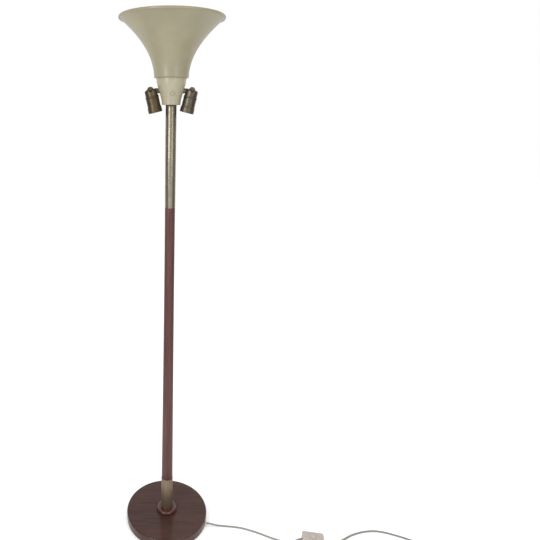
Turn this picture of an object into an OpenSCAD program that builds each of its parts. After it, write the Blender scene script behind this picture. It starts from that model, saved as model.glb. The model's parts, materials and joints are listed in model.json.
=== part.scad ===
// Torchiere floor lamp: a trumpet uplighter on a painted neck, two swivelling side
// lampholders, a turned wooden pole between metal tubes, a round wooden base with an
// iron ballast, and a flat flex with a foot switch and a plug.
// The origin is the centre of the base's underside, +Z is up and the front is -Y.

/* [Overall] */
// Height from the floor to the top of the shade's rim
total_h = 1500; // [1250:10:1800]

/* [Base] */
// Diameter of the wooden base
base_d = 261; // [217:1:314]
// Height of the base's top above the floor
base_h = 30; // [25:0.5:36]
// Radius of the base's rounded top edge
base_edge_r = 4; // [2:0.5:6]
// Thickness of the iron ballast
ballast_t = 14; // [11.5:0.5:17]
// Width of the wooden wall round the ballast
ballast_wall = 21; // [16:1:26]
// Thickness of the felt under the base
felt_t = 3; // [2:0.5:4]
// Outer diameter of the rosette ring at the pole's foot
rosette_d = 63; // [52:1:76]
// Height of the rosette ring
rosette_h = 10; // [8:0.5:12]

/* [Pole] */
// Diameter of the brass sleeve at the foot
sleeve_d = 36.6; // [30.4:0.2:44]
// Length of the brass sleeve that shows above the base
sleeve_len = 126; // [105:1:152]
// Diameter of the wooden pole at its lower end
wood_low_d = 35.4; // [29.4:0.2:42.6]
// Diameter of the wooden pole at its upper end
wood_top_d = 27.4; // [24:0.2:32]
// Diameter of the upper tube
tube_d = 28; // [24:0.2:33]
// Length of the upper tube that shows below the neck
tube_len = 263; // [220:1:316]
// Wall of both metal tubes
tube_wall = 1.2; // [0.8:0.1:2]
// Diameter of the threaded pipe that ties the lamp together
rod_d = 10; // [8.5:0.5:12]
// Bore of the threaded pipe
rod_bore = 7; // [5.8:0.2:7.4]

/* [Neck] */
// Height of the conical neck
neck_h = 64; // [60:1:76]
// Diameter of the neck at its lower edge
neck_low_d = 47.2; // [40:0.2:57]
// Diameter of the neck under the shade
neck_top_d = 75.6; // [64:0.2:84]
// Wall of the neck
neck_wall = 1.5; // [1.2:0.1:2]
// Height of the neck's screw above the neck's lower edge
neck_screw_h = 27; // [24:1:30]

/* [Trumpet shade] */
// Diameter of the shade over its rolled rim
shade_d = 260; // [216:1:312]
// Diameter of the shade's flat bottom
shade_low_d = 87; // [84:1:104]
// Height of the shade
shade_h = 139; // [116:1:167]
// Wall of the shade
shade_wall = 1.3; // [1:0.1:2]
// Radius of the bead rolled round the rim
rim_bead_r = 3.4; // [2.8:0.1:4]

/* [Side holders] */
// Height of the arms above the neck's lower edge
arm_h = 34.4; // [33:0.2:42]
// Diameter of the round arms
arm_d = 11.2; // [9.4:0.2:11.6]
// Least distance from the neck's wall to a tilt pivot
arm_reach = 20.6; // [18:0.2:24.8]
// Inward tilt of the holders at rest, in degrees
rest_tilt = 13.5; // [11:0.5:18]
// Outward swing of the holders from rest, in degrees
swing = 90; // [75:5:90]
// Diameter of the round knuckle
knuckle_d = 17.2; // [16:0.2:18]
// Width of the knuckle along the pivot
knuckle_w = 17; // [15:0.5:19]
// Thickness of the tongue in the knuckle's slot
tongue_t = 5; // [4:0.1:5.6]
// Diameter of the pivot screw
pivot_d = 4; // [3.4:0.1:4.8]

/* [Lampholders] */
// Outer diameter of a holder's shell at its waist
shell_d = 33.2; // [31.8:0.2:40]
// Widening of a holder's shell at its mouth, on each side
mouth_flare = 1.4; // [1.2:0.1:1.7]
// Length of a holder's shell
shell_len = 35.6; // [31:0.1:42.8]
// Inner diameter of the screw shell, for an E27 lamp
thread_d = 26.7; // [26:0.1:26.8]

/* [Foot switch] */
// Length of the foot switch
switch_l = 65; // [54:1:78]
// Depth of the foot switch
switch_w = 36; // [32:1:43]
// Height of the foot switch's casing
switch_h = 20; // [17:0.5:24]
// Diameter of the push button
button_d = 21; // [17.5:0.5:25]
// Travel of the push button
button_travel = 3; // [2.5:0.1:3.5]

/* [Flex and plug] */
// Width of the flat flex
flex_w = 6.4; // [5.6:0.2:6.6]
// Thickness of the flat flex
flex_t = 3.2; // [2.8:0.1:3.3]
// Diameter of the coil at the middle of its turns
coil_d = 69; // [64:1:76]
// Rings of turns side by side in the coil
coil_rings = 2; // [2:1:3]
// Layers of turns in the coil
coil_layers = 3; // [2:1:4]
// Distance between the plug's two pins
pin_gap = 12.7; // [12.7:0.1:19]

/* [Hidden] */

$fn = 64;
eps = 0.01;
run_fit = 0.05;     // radial clearance of a pin or shaft that turns
seat_fit = 0.1;     // radial clearance of a part that sits in another
side_fit = 0.15;    // clearance on each side of the tongue

// Heights of the joints between the pieces
neck_z = total_h - shade_h - neck_h;
shade_z = total_h - shade_h;
wood_top_z = neck_z - tube_len;
wood_low_z = base_h + sleeve_len;

// Base
foot_gap = 1;                                  // the wood stands this far off the floor
felt_r = base_d / 2 - 8;
ballast_r = base_d / 2 - ballast_wall;
ballast_top_z = felt_t + ballast_t;
ballast_bore_r = 22;
cord_angle = -16;                              // direction in which the flex leaves
cord_exit_z = 8;
cord_slot_w = 12;
screw_ring_r = (ballast_r + ballast_bore_r) / 2;
screw_head_r = 4.5;
screw_r = 2;
grommet_r = 4.4;
grommet_tip_r = 3.9;
grommet_out = 4.5;                             // the part of the grommet outside the base
grommet_in = ballast_wall - 0.5;

// Pole
rod_r = rod_d / 2;
rod_hole_r = rod_r + 0.3;
nut_t = 5;
washer_t = 1.5;
nut_r = rod_r * 1.8;
washer_r = rod_r * 2.3;
bush_len = 12;
tenon_len = 15;
sleeve_seat_r = sleeve_d / 2 - tube_wall - seat_fit;
tube_seat_r = tube_d / 2 - tube_wall - seat_fit;
tenon_low_r = min(sleeve_seat_r, wood_low_d / 2 - 0.5);
tenon_top_r = min(tube_seat_r, wood_top_d / 2 - 0.5);
rod_low_z = ballast_top_z - washer_t - nut_t - 0.5;

// Neck
neck_floor_t = 2.5;
neck_lip = 2;
neck_floor_z = neck_z + neck_lip;
neck_groove_h = 1.2;
neck_groove_d = 0.7;
neck_screw_angle = 6;                          // the screw stands a little right of the front
neck_boss_r = 4.9;
neck_screw_r = 2;
neck_head_r = 4;

// Lampholders, each in its own frame: the origin is the pivot and the mouth points down
knuckle_r = knuckle_d / 2;
shoulder_z = 2.4;
shoulder_r = 5;
cap_r = shell_d / 2 - 0.8;
cap_low_z = -19;
bead_r = shell_d / 2 + 0.9;
shell_wall = 0.9;
mouth_d = shell_d + 2 * mouth_flare;
lip_r = 1.4;                                   // rounding of the mouth, rolled inward
spigot_len = 5;
spigot_r = shell_d / 2 - shell_wall - seat_fit;
spigot_wall = 1.2;
cap_roof_z = -9.5;
shell_low_z = cap_low_z - shell_len;
flare_z = cap_low_z - shell_len * 0.52;
flare_h = 7;
insert_wall_r = spigot_r;
insert_top_z = cap_low_z - 1;
insert_step_z = cap_low_z - spigot_len - 0.2;
insert_floor_z = insert_step_z - 4;
insert_low_z = shell_low_z + 7;
thread_r = thread_d / 2;
thread_wall = 0.5;
thread_floor = 1.2;

// Where the arms and the tilt pivots stand
arm_z = neck_z + arm_h;
arm_r = arm_d / 2;
stop_gap = 0.8;
stop_r = (shell_d + mouth_d) / 4;
stop_s = (arm_h + stop_r * sin(rest_tilt)) / cos(rest_tilt);
stop_x = neck_low_d / 2 + stop_gap + stop_s * sin(rest_tilt) + stop_r * cos(rest_tilt);
pivot_x = max(neck_r(arm_h) + arm_reach, stop_x);
pivot_r = pivot_d / 2;
pivot_face = knuckle_w / 2;
pivot_pocket_r = 4.6;                          // clears the screw's head and the nut
eye_r = 6.2;
tongue_h = 9;
stub_end = 10.6;                               // distance from the pivot to the arm's round end
collar_r = arm_r + 1;
arm_thread_r = 5;
arm_thread_in = 11;
arm_nut_t = 4.5;
lead_r = 0.85;
lead_y = 3.6;

// Shade and centre holder
shade_plate_t = 1.6;
shade_corner_r = 3;
shade_nut_t = 6;
shade_nut_r = 9;
centre_cap_z = shade_z + shade_plate_t + shade_nut_t;
centre_floor_t = 3;
centre_cap_h = 16.5;
centre_z = centre_cap_z + centre_cap_h + cap_low_z;
rod_top_z = centre_cap_z + centre_floor_t + nut_t;

// Foot switch, in its own frame: the origin is the middle of its underside
switch_x = 458;
switch_y = -94;
switch_angle = -9;
switch_split_z = 8;
switch_wall = 1.8;
switch_corner = 7;
switch_edge = 3;
switch_cord_z = 5.5;
button_proud = 4;
button_hole_r = button_d / 2 + 0.3;
button_flange_r = button_d / 2 + 2;
button_flange_t = 1.6;
spring_r = 4;
spring_wire_r = 0.45;
spring_low_z = 3.4;
spring_turns = 5;

// Coil and plug
coil_x = 795;
coil_y = -165;
coil_pitch = flex_w + 0.4;
coil_half_w = coil_rings * coil_pitch / 2;
coil_h = coil_layers * (flex_t + 0.15);
plug_x = 748;
plug_y = -205;
plug_z = 7;
plug_l = 30;
plug_w = 25;
plug_t = 14;

// Route of the flex from the base to the foot switch
to_switch_route = [
    [128.6, -36.9, 8], [141, -39.5, 7.9], [153, -41, 6.2], [165, -41.5, 4], [181, -41.5, 2.2],
    [199, -42.5, 1.7], [221, -45, 1.7], [243, -49, 1.7], [263, -55.5, 1.7], [283, -63, 1.7],
    [302, -71.5, 1.7], [321, -80.5, 1.7], [336, -87.5, 1.7], [350, -93, 1.7], [363, -97.5, 1.7],
    [377, -98.5, 2], [391, -99, 2.8], [404, -97, 4.2], [415, -92.5, 5.4], [428, -90, 5.5]
];
// Route of the flex from the foot switch to the coil
to_coil_route = [
    [488, -98.8, 5.5], [502, -101, 5.4], [516, -101.5, 3.8], [529, -99, 2.2], [542, -94.5, 1.7],
    [554, -88.5, 1.7], [567, -81.5, 1.7], [578, -75, 1.7], [594, -67.5, 1.7], [611, -61.5, 1.7],
    [627, -57, 1.7], [643, -54, 1.7], [656, -52.7, 1.7], [669, -52.4, 1.7], [683, -54, 1.7],
    [697, -57, 1.7], [710, -61, 1.7], [722, -65.5, 1.7], [735, -70.5, 1.7], [747, -75.5, 1.7],
    [766, -84.5, 1.7], [784, -94.5, 1.7], [801, -107, 1.7], [815, -121, 1.7], [826, -137, 1.7],
    [832, -155, 1.7]
];
// Route of the flex from the coil to the plug
tail_route = [
    [791, -203, 8.2], [783, -203.6, 8], [775, -204.2, 7.7], [767, -204.7, 7.4], [759, -205, 7.1],
    [747.5, -205, 7]
];

// Radius of the neck's outside at a height above its lower edge
function neck_r(h) =
    let (t = min(1, max(0, h / neck_h)))
    neck_low_d / 2 + (neck_top_d - neck_low_d) / 2 * t * t * (3 - 2 * t);

// Radius of the wooden pole at a height
function wood_r(z) =
    wood_top_d / 2 + (wood_low_d - wood_top_d) / 2
    * pow((wood_top_z - z) / (wood_top_z - wood_low_z), 1.6);

// The trumpet's outside and inside at a share of its height up to the bead
shade_bell_h = shade_h - rim_bead_r - 1;
shade_bell_r = shade_d / 2 - rim_bead_r - shade_low_d / 2;
function shade_outer(t) = [shade_low_d / 2 + shade_bell_r * t * t, shade_bell_h * t];
function shade_inner(t) =
    let (slope = 2 * shade_bell_r * t / shade_bell_h, n = sqrt(1 + slope * slope))
    shade_outer(t) + [-shade_wall / n, shade_wall * slope / n];

// A quarter of a circle as points, counter-clockwise from an angle
function quarter(centre, r, from, steps = 8) =
    [for (i = [0 : steps]) centre + r * [cos(from + 90 * i / steps), sin(from + 90 * i / steps)]];

function unit(v) = v / norm(v);

// Direction of a route at one of its points
function along(route, i) =
    unit(route[min(i + 1, len(route) - 1)] - route[max(i - 1, 0)]);

// Ring of eight points round a route's point: half widths across and upward
function flat_ring(route, i, half_w, half_t) =
    let (
        t = along(route, i),
        side = unit(cross([0, 0, 1], t)),
        up = cross(t, side)
    )
    [for (k = [0 : 7])
        route[i] + half_w * cos(22.5 + 45 * k) / cos(22.5) * side
        + half_t * sin(22.5 + 45 * k) / cos(22.5) * up];

// Closed tube through the rings of a route
module sweep(rings) {
    count = len(rings);
    sides = len(rings[0]);
    polyhedron(
        points = [for (r = rings) each r],
        faces = concat(
            [[for (k = [sides - 1 : -1 : 0]) k]],
            [for (i = [0 : count - 2], k = [0 : sides - 1], half = [0, 1])
                let (
                    a = i * sides + k,
                    b = i * sides + (k + 1) % sides,
                    c = a + sides,
                    d = b + sides
                )
                half == 0 ? [a, b, d] : [a, d, c]],
            [[for (k = [0 : sides - 1]) (count - 1) * sides + k]]
        ),
        convexity = 10
    );
}

module flex_tube(route) {
    sweep([for (i = [0 : len(route) - 1]) flat_ring(route, i, flex_w / 2, flex_t / 2)]);
}

module tube(r_out, r_in, h) {
    difference() {
        cylinder(r = r_out, h = h);
        translate([0, 0, -1]) cylinder(r = r_in, h = h + 2);
    }
}

// Hexagonal nut with a round bore, standing on z = 0
module hex_nut(r, bore_r, h) {
    difference() {
        cylinder(r = r, h = h, $fn = 6);
        translate([0, 0, -1]) cylinder(r = bore_r, h = h + 2, $fn = 64);
    }
}

// Puts a piece made along +Z with its foot at the origin along +X
module along_x() {
    rotate([0, 90, 0]) children();
}

// Cylinder along Y, centred on the origin
module y_cylinder(r, w) {
    rotate([90, 0, 0]) cylinder(r = r, h = w, center = true);
}

module at_cord_exit() {
    rotate([0, 0, cord_angle]) children();
}

module at_ballast_screws() {
    for (a = [60, 180, 300]) rotate([0, 0, a]) translate([screw_ring_r, 0, 0]) children();
}

/* ---- Base ---- */

module base_disc() {
    color("#5a453e")
    difference() {
        rotate_extrude($fn = 128)
            polygon(concat(
                [[0, foot_gap]],
                quarter([base_d / 2 - 1.5, foot_gap + 1.5], 1.5, -90, 4),
                quarter([base_d / 2 - base_edge_r, base_h - base_edge_r], base_edge_r, 0),
                [[0, base_h]]
            ));
        translate([0, 0, -1]) cylinder(r = felt_r + 0.5, h = felt_t + 1, $fn = 128);
        translate([0, 0, -1]) cylinder(r = ballast_r + 0.5, h = ballast_top_z + 1, $fn = 128);
        cylinder(r = rod_hole_r, h = base_h + 1);
        at_cord_exit() translate([ballast_r - 2, 0, cord_exit_z])
            along_x() cylinder(r = grommet_r + 0.05, h = ballast_wall + 10);
        at_ballast_screws() translate([0, 0, ballast_top_z - 1])
            cylinder(r = screw_r + 0.05, h = base_h - ballast_top_z - 2);
    }
}

module base_ballast() {
    color("#3b3b3d")
    difference() {
        translate([0, 0, felt_t]) tube(ballast_r, ballast_bore_r, ballast_t, $fn = 128);
        at_cord_exit() translate([0, -cord_slot_w / 2, 0])
            cube([ballast_r + 5, cord_slot_w, ballast_top_z + 5]);
        at_ballast_screws() {
            cylinder(r = screw_r + 0.3, h = ballast_top_z + 5);
            translate([0, 0, felt_t - eps]) cylinder(r = screw_head_r + 0.3, h = 3.5 + eps);
        }
    }
}

module ballast_screws() {
    color("#8f8f8a")
    at_ballast_screws() difference() {
        translate([0, 0, felt_t + 0.5]) {
            cylinder(r = screw_head_r, h = 3);
            cylinder(r = screw_r, h = base_h - felt_t - 4.5);
        }
        translate([-screw_head_r, -0.6, felt_t]) cube([2 * screw_head_r, 1.2, 1.5]);
    }
}

module base_felt() {
    color("#2f3a33")
    cylinder(r = felt_r, h = felt_t, $fn = 128);
}

module base_rosette() {
    bulge = rosette_h / 2;
    color("#6b4636")
    translate([0, 0, base_h])
    rotate_extrude($fn = 128)
        polygon(concat(
            [[sleeve_d / 2 + seat_fit, 0], [rosette_d / 2 - 1.2, 0]],
            quarter([rosette_d / 2 - bulge, bulge], bulge, 0, 12),
            [[sleeve_d / 2 + 3, rosette_h], [sleeve_d / 2 + seat_fit, rosette_h - 1.5]]
        ));
}

module rod_foot_nut() {
    color("#a9a49a")
    translate([0, 0, ballast_top_z - washer_t]) {
        tube(washer_r, rod_r + seat_fit, washer_t);
        translate([0, 0, -nut_t]) hex_nut(nut_r, rod_r + run_fit, nut_t);
    }
}

// Tapered strain relief in the base's wall
module cord_grommet() {
    color("#d8d4c8")
    at_cord_exit() translate([base_d / 2 - grommet_in, 0, cord_exit_z]) along_x()
    difference() {
        union() {
            cylinder(r = grommet_r, h = grommet_in - 1);
            translate([0, 0, grommet_in - 1])
                cylinder(r1 = grommet_r, r2 = grommet_tip_r, h = grommet_out + 1);
        }
        translate([0, 0, -1]) cylinder(r = flex_w / 2 + 0.1, h = grommet_in + grommet_out + 2);
    }
}

/* ---- Pole ---- */

module lower_sleeve() {
    color("#7a6448")
    translate([0, 0, base_h]) tube(sleeve_d / 2, sleeve_d / 2 - tube_wall, sleeve_len);
}

module sleeve_bush() {
    color("#9c7d4e")
    translate([0, 0, base_h]) tube(sleeve_seat_r, rod_hole_r, bush_len);
}

module wood_pole() {
    steps = 16;
    color("#5f433b")
    difference() {
        rotate_extrude($fn = 96)
            polygon(concat(
                [[0, wood_low_z - tenon_len], [tenon_low_r, wood_low_z - tenon_len],
                 [tenon_low_r, wood_low_z]],
                [for (i = [0 : steps])
                    let (z = wood_low_z + (wood_top_z - wood_low_z) * i / steps) [wood_r(z), z]],
                [[tenon_top_r, wood_top_z], [tenon_top_r, wood_top_z + tenon_len],
                 [0, wood_top_z + tenon_len]]
            ));
        translate([0, 0, wood_low_z - tenon_len - 1])
            cylinder(r = rod_r + 0.8, h = wood_top_z - wood_low_z + 2 * tenon_len + 2);
    }
}

module upper_tube() {
    color("#b3aa98")
    translate([0, 0, wood_top_z])
        tube(tube_d / 2, tube_d / 2 - tube_wall, neck_floor_z - wood_top_z);
}

module tube_bush() {
    color("#9c7d4e")
    translate([0, 0, neck_floor_z - bush_len]) tube(tube_seat_r, rod_hole_r, bush_len);
}

module tie_rod() {
    color("#a9a49a")
    difference() {
        translate([0, 0, rod_low_z]) tube(rod_r, rod_bore / 2, rod_top_z - rod_low_z);
        translate([0, 0, neck_z + neck_screw_h]) y_cylinder(2.6, rod_d + 2);
    }
}

/* ---- Neck ---- */

module neck_solid(grow = 0) {
    steps = 24;
    rotate_extrude($fn = 96)
        polygon(concat(
            [[0, 0]],
            [for (i = [0 : steps]) let (h = neck_h * i / steps) [neck_r(h) + grow, h]],
            [[0, neck_h]]
        ));
}

module neck_groove() {
    difference() {
        cylinder(r = neck_low_d, h = neck_groove_h);
        translate([0, 0, -1])
            cylinder(r = neck_low_d / 2 - neck_groove_d, h = neck_groove_h + 2);
    }
}

module at_neck_screw() {
    translate([0, 0, neck_z + neck_screw_h]) rotate([0, 0, neck_screw_angle - 90])
        along_x() children();
}

neck_boss_x = neck_r(neck_screw_h + neck_boss_r) + 0.3;

module neck_cone() {
    inner_z = neck_lip + neck_floor_t;
    color("#c3bfa9")
    difference() {
        union() {
            translate([0, 0, neck_z]) difference() {
                neck_solid();
                translate([0, 0, neck_groove_h]) neck_groove();
                difference() {
                    neck_solid(-neck_wall);
                    translate([0, 0, neck_lip])
                        cylinder(r = neck_low_d, h = neck_floor_t);
                }
                translate([0, 0, -1]) cylinder(r = neck_low_d / 2 - neck_wall, h = neck_lip + 1);
                translate([0, 0, neck_h - eps]) cylinder(r = neck_top_d / 2 - neck_wall, h = 1);
            }
            at_neck_screw() translate([0, 0, neck_r(neck_screw_h) - 3])
                cylinder(r = neck_boss_r, h = neck_boss_x - neck_r(neck_screw_h) + 3);
        }
        at_neck_screw() cylinder(r = neck_screw_r + seat_fit, h = neck_top_d);
        translate([0, 0, neck_z - 1]) cylinder(r = rod_hole_r, h = inner_z + 2);
        for (side = [0, 180]) rotate([0, 0, side]) translate([0, 0, arm_z])
            along_x() cylinder(r = arm_thread_r + seat_fit, h = neck_top_d);
    }
}

module neck_nut() {
    color("#a9a49a")
    translate([0, 0, neck_floor_z + neck_floor_t]) {
        tube(washer_r, rod_r + seat_fit, washer_t);
        translate([0, 0, washer_t]) hex_nut(nut_r, rod_r + run_fit, nut_t);
    }
}

block_x = 13;
block_l = 11;

module neck_screw() {
    color("#d0ccb8")
    at_neck_screw() difference() {
        union() {
            translate([0, 0, block_x + 3]) cylinder(r = neck_screw_r, h = neck_boss_x - block_x - 2);
            translate([0, 0, neck_boss_x]) intersection() {
                cylinder(r = neck_head_r, h = 3);
                translate([0, 0, -2.4]) sphere(r = 4.9);
            }
        }
        translate([-0.5, -neck_head_r, neck_boss_x + 1.5]) cube([1, 2 * neck_head_r, 3]);
    }
}

// Ceramic block that joins the flex to the leads, held by the neck's screw
module junction_block() {
    color("#e6e1d3")
    at_neck_screw() difference() {
        translate([-5, -9, block_x]) cube([10, 18, block_l]);
        translate([0, 0, block_x + 2]) cylinder(r = neck_screw_r + run_fit, h = block_l);
        for (y = [-5.5, 5.5]) translate([0, y, block_x - 1]) cylinder(r = 1.4, h = 7);
    }
}

module neck_leads() {
    lead_from = neck_r(arm_h) - arm_thread_in - 3;
    color("#c9a23a")
    for (side = [0, 180], y = [-lead_y, lead_y])
        rotate([0, 0, side]) translate([lead_from, y, arm_z])
            along_x() cylinder(r = lead_r, h = pivot_x - stub_end - lead_from, $fn = 24);
}

// Flex from the grommet through the base and up the threaded pipe
module inner_flex() {
    bend_r = 5;
    core_r = 1.6;
    out_r = base_d / 2 + grommet_out;
    color("#d9d2bf")
    at_cord_exit() {
        translate([bend_r, 0, cord_exit_z]) along_x() cylinder(r = core_r, h = out_r - bend_r);
        translate([bend_r, 0, cord_exit_z + bend_r]) rotate([90, 0, 0])
            rotate([0, 0, 180]) rotate_extrude(angle = 90)
                translate([bend_r, 0]) circle(r = core_r);
        translate([0, 0, cord_exit_z + bend_r])
            cylinder(r = core_r, h = neck_z + neck_screw_h - 6 - cord_exit_z - bend_r);
    }
}

/* ---- Side holders ---- */

// Places a piece on the right side, with its origin at the tilt pivot
module at_pivot() {
    translate([pivot_x, 0, arm_z]) children();
}

// Places a holder's own frame at the pivot, tilted inward as it rests
module at_holder() {
    at_pivot() rotate([0, rest_tilt, 0]) children();
}

module arm() {
    neck_x = neck_r(arm_h);
    tip_x = pivot_x - stub_end;
    color("#8a7350")
    difference() {
        union() {
            difference() {
                union() {
                    translate([neck_x - 6, 0, arm_z]) along_x() cylinder(r = collar_r, h = 7.2);
                    translate([neck_x - 6, 0, arm_z]) along_x()
                        cylinder(r = arm_r, h = tip_x - neck_x + 6);
                }
                translate([0, 0, neck_z]) neck_solid(0.05);
            }
            translate([neck_x - arm_thread_in, 0, arm_z]) along_x()
                cylinder(r = arm_thread_r, h = arm_thread_in + 2);
            translate([tip_x - 2, -tongue_t / 2, arm_z - tongue_h / 2])
                cube([pivot_x - tip_x + 2, tongue_t, tongue_h]);
            at_pivot() y_cylinder(eye_r, tongue_t);
        }
        at_pivot() y_cylinder(pivot_r + run_fit, tongue_t + 2);
        for (y = [-lead_y, lead_y]) translate([neck_x - arm_thread_in - 1, y, arm_z])
            along_x() cylinder(r = lead_r + seat_fit, h = tip_x, $fn = 24);
    }
}

module arm_nut() {
    color("#a9a49a")
    translate([neck_r(arm_h) - 2.2 * neck_wall - arm_nut_t - 1.5, 0, arm_z]) along_x()
        hex_nut(8, arm_thread_r + run_fit, arm_nut_t);
}

// Outline of a cap from its top to its lower end, as half of a section
function cap_outline(top) = concat(
    [[0, top], [cap_r - shoulder_r, top]],
    [for (i = [8 : -1 : 0]) [cap_r - shoulder_r, top - shoulder_r]
        + shoulder_r * [cos(90 * i / 8), sin(90 * i / 8)]],
    [[cap_r + 0.2, cap_low_z + 4.6]],
    [for (a = [80 : -20 : -80]) [bead_r - 1.7, cap_low_z + 2.2] + 2 * [cos(a) * 0.85, sin(a)]],
    [[spigot_r, cap_low_z], [spigot_r, cap_low_z - spigot_len],
     [0, cap_low_z - spigot_len]]
);

module cap_hollow() {
    translate([0, 0, cap_low_z - spigot_len - 1])
        cylinder(r = spigot_r - spigot_wall, h = cap_roof_z - cap_low_z + spigot_len + 1);
}

// The room that the tongue and the round arm need in a cap, over the whole swing
module swing_room() {
    far = 32;
    tongue_w = tongue_t + 2 * side_fit;
    tongue_room = eye_r + 0.6;
    stub_w = arm_d + 0.6;
    rotate([0, -rest_tilt, 0]) {
        y_cylinder(tongue_room, tongue_w);
        translate([-far, -tongue_w / 2, -tongue_room]) cube([far, tongue_w, far]);
        translate([-tongue_room, -tongue_w / 2, 0]) cube([2 * tongue_room, tongue_w, far]);
        difference() {
            union() {
                translate([-far, 0, 0]) along_x() cylinder(r = stub_w / 2, h = far);
                translate([-far, -stub_w / 2, 0]) cube([far, stub_w, far]);
            }
            y_cylinder(stub_end - 0.3, stub_w + 2);
        }
    }
}

module holder_cap() {
    color("#8c7a58")
    at_holder() difference() {
        union() {
            rotate_extrude() polygon(cap_outline(shoulder_z));
            intersection() {
                y_cylinder(knuckle_r, knuckle_w);
                sphere(r = norm([knuckle_r, knuckle_w / 2]) - 0.9);
            }
        }
        swing_room();
        cap_hollow();
        y_cylinder(pivot_r + 0.02, knuckle_w + 2);
        for (s = [-1, 1]) translate([0, s * (pivot_face + 6), 0])
            y_cylinder(pivot_pocket_r, 12);
        translate([-3, 0, cap_roof_z - 1]) cylinder(r = 2.2, h = 7);
    }
}

module pivot_screw() {
    color("#a08a5c")
    at_holder() difference() {
        union() {
            y_cylinder(pivot_r, 2 * pivot_face);
            translate([0, -pivot_face, 0]) rotate([90, 0, 0]) intersection() {
                cylinder(r = 3.8, h = 2.2);
                translate([0, 0, -3.4]) sphere(r = 5.6);
            }
            translate([0, pivot_face, 0]) rotate([-90, 0, 0]) cylinder(r = pivot_r, h = 3);
        }
        translate([-4, -pivot_face - 3, -0.45]) cube([8, 1.9, 0.9]);
    }
}

module pivot_nut() {
    color("#a08a5c")
    at_holder() translate([0, pivot_face, 0]) rotate([-90, 0, 0]) difference() {
        union() {
            cylinder(r = 4.2, h = 2.4, $fn = 6);
            intersection() {
                cylinder(r = 3.5, h = 5);
                translate([0, 0, 1]) sphere(r = 4);
            }
        }
        translate([0, 0, -1]) cylinder(r = pivot_r + 0.02, h = 4.2, $fn = 64);
    }
}

// Outer radius of a shell at a height in the holder's frame
function shell_r(z) =
    let (t = min(1, max(0, (flare_z - z) / flare_h)))
    shell_d / 2 + (mouth_d - shell_d) / 2 * t * t * (3 - 2 * t);

module shell_shape() {
    steps = 10;
    flare = [for (i = [0 : steps]) flare_z - flare_h * i / steps];
    ledge_z = insert_low_z;
    rotate_extrude()
        polygon(concat(
            [[shell_d / 2, cap_low_z]],
            [for (z = flare) [shell_r(z), z]],
            [for (a = [0 : -15 : -90])
                [mouth_d / 2 - lip_r, shell_low_z + lip_r] + lip_r * [cos(a), sin(a)]],
            [[mouth_d / 2 - lip_r - 0.4, shell_low_z], [mouth_d / 2 - lip_r - 0.4, shell_low_z + 0.8],
             [mouth_d / 2 - shell_wall, shell_low_z + lip_r],
             [mouth_d / 2 - shell_wall, ledge_z - 1.2],
             [spigot_r - 0.8, ledge_z - 1.2], [spigot_r - 0.8, ledge_z],
             [mouth_d / 2 - shell_wall, ledge_z]],
            [for (i = [steps : -1 : 0]) [shell_r(flare[i]) - shell_wall, flare[i]]],
            [[shell_d / 2 - shell_wall, cap_low_z]]
        ));
}

// Porcelain body: a plug inside the cap's spigot and a cup round the screw shell
module insert_shape() {
    difference() {
        union() {
            translate([0, 0, insert_step_z])
                cylinder(r = spigot_r - spigot_wall - seat_fit, h = insert_top_z - insert_step_z);
            translate([0, 0, insert_low_z])
                cylinder(r = insert_wall_r, h = insert_step_z - insert_low_z);
        }
        translate([0, 0, insert_low_z - 1])
            cylinder(r = thread_r + thread_wall + 0.05, h = insert_floor_z - insert_low_z + 1);
        for (x = [-7, 7]) translate([x, 0, insert_floor_z - 1])
            cylinder(r = 1.6, h = insert_top_z - insert_floor_z + 2);
    }
}

// Brass screw shell with its floor ring
module screw_shell_shape() {
    shell_h = insert_floor_z - insert_low_z - 0.5;
    translate([0, 0, insert_low_z + 0.5]) difference() {
        cylinder(r = thread_r + thread_wall, h = shell_h);
        translate([0, 0, -1]) cylinder(r = thread_r, h = shell_h - thread_floor + 1);
        cylinder(r = thread_r - 3.4, h = 2 * shell_h);
    }
}

// Centre contact with its rivet
module contact_shape() {
    translate([0, 0, insert_floor_z - thread_floor + 0.1]) cylinder(r = 3, h = thread_floor - 0.1);
    translate([-6, -2.5, insert_floor_z - 0.6]) cube([12, 5, 0.6]);
}

module holder_shell() {
    color("#8c7a58") at_holder() shell_shape();
}

module holder_insert() {
    color("#efeade") at_holder() insert_shape();
}

module holder_screw_shell() {
    color("#b89a55") at_holder() screw_shell_shape();
}

module holder_contact() {
    color("#b89a55") at_holder() contact_shape();
}

module on_left() {
    mirror([1, 0, 0]) children();
}

module left_arm() { on_left() arm(); }
module left_arm_nut() { on_left() arm_nut(); }
module left_cap() { on_left() holder_cap(); }
module left_pivot_screw() { on_left() pivot_screw(); }
module left_pivot_nut() { on_left() pivot_nut(); }
module left_shell() { on_left() holder_shell(); }
module left_insert() { on_left() holder_insert(); }
module left_screw_shell() { on_left() holder_screw_shell(); }
module left_contact() { on_left() holder_contact(); }
module right_arm() { arm(); }
module right_arm_nut() { arm_nut(); }
module right_cap() { holder_cap(); }
module right_pivot_screw() { pivot_screw(); }
module right_pivot_nut() { pivot_nut(); }
module right_shell() { holder_shell(); }
module right_insert() { holder_insert(); }
module right_screw_shell() { holder_screw_shell(); }
module right_contact() { holder_contact(); }

/* ---- Shade and centre holder ---- */

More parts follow.
